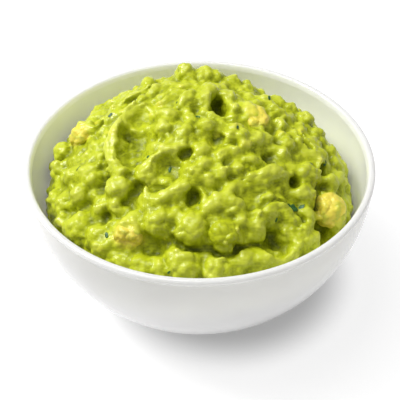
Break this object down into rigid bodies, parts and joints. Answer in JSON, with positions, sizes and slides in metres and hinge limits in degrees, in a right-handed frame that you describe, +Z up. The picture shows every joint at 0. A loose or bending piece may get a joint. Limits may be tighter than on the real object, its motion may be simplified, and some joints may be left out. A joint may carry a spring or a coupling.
{
  "type": "guacamole in a serving bowl",
  "caption": "Chunky guacamole heaped above the rim of a round white porcelain serving bowl, with lumps of whole avocado showing.",
  "frame": {"origin": "middle of the foot ring, on the surface that the bowl stands on", "axes": "+Z up along the bowl's axis, -Y the front, +X to the right"},
  "size_m": [0.15, 0.15, 0.0856],
  "materials": {
    "porcelain": "glossy clear glaze over white porcelain",
    "mashed_avocado": "wet, lumpy mash",
    "avocado_flesh": "moist, smooth flesh"
  },
  "bodies": {
    "root": {"bowl": "porcelain", "guacamole_mash": "mashed_avocado", "avocado_chunk_right": "avocado_flesh", "avocado_chunk_front_left": "avocado_flesh", "avocado_chunk_left": "avocado_flesh", "avocado_chunk_top": "avocado_flesh", "avocado_knob_front": "avocado_flesh"}
  },
  "joints": []
}
